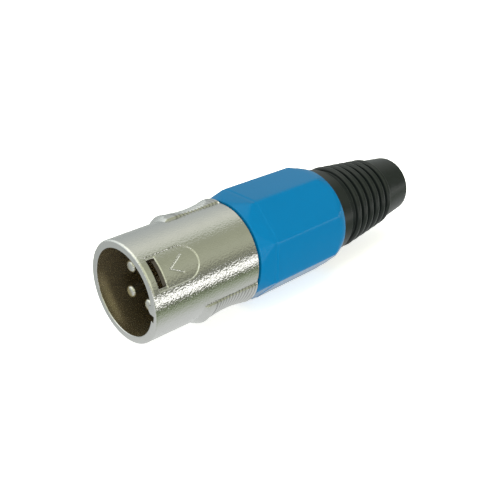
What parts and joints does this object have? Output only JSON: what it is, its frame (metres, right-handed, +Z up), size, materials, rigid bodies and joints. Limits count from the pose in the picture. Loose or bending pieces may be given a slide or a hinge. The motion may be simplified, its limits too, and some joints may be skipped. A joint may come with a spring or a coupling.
{
  "type": "xlr plug",
  "caption": "Straight three-pole round cable plug: metal mating shell with side grips, screwed eight-sided collar and ribbed rubber bend relief.",
  "frame": {"origin": "centre of the shell's mouth, on the plug's axis", "axes": "+X along the plug's axis from the mouth to the cable end, +Z up as the plug lies on a flat of its collar"},
  "size_m": [0.0712, 0.0206, 0.0206],
  "materials": {
    "shell_nickel": "satin nickel plate on die-cast zinc",
    "insert_plastic": "moulded, dark",
    "pin_silver": "silver plated, polished",
    "contact_tin": "tin plated strip",
    "chuck_plastic": "moulded, dark",
    "collar_blue": "gloss moulded, bright blue",
    "boot_rubber": "soft moulded rubber, charcoal"
  },
  "bodies": {
    "plug_body": {"shell": "shell_nickel", "insert": "insert_plastic", "pin_1": "pin_silver", "pin_2": "pin_silver", "pin_3": "pin_silver", "shell_contact": "contact_tin"},
    "chuck_body": {"chuck": "chuck_plastic"},
    "collar_body": {"collar": "collar_blue", "boot": "boot_rubber"}
  },
  "joints": [
    {"name": "collar_travel", "type": "slide", "parent": "plug_body", "child": "chuck_body", "axis": [1, 0, 0], "range_m": [0, 0.0075]},
    {"name": "collar_turn", "type": "hinge", "parent": "chuck_body", "child": "collar_body", "pos_m": [0.035, 0, 0], "axis": [1, 0, 0], "range_deg": [0, 1800]}
  ],
  "couplings": [
    {"joint": "collar_travel", "follows": "collar_turn", "m_per_rad": 0.00023873}
  ]
}
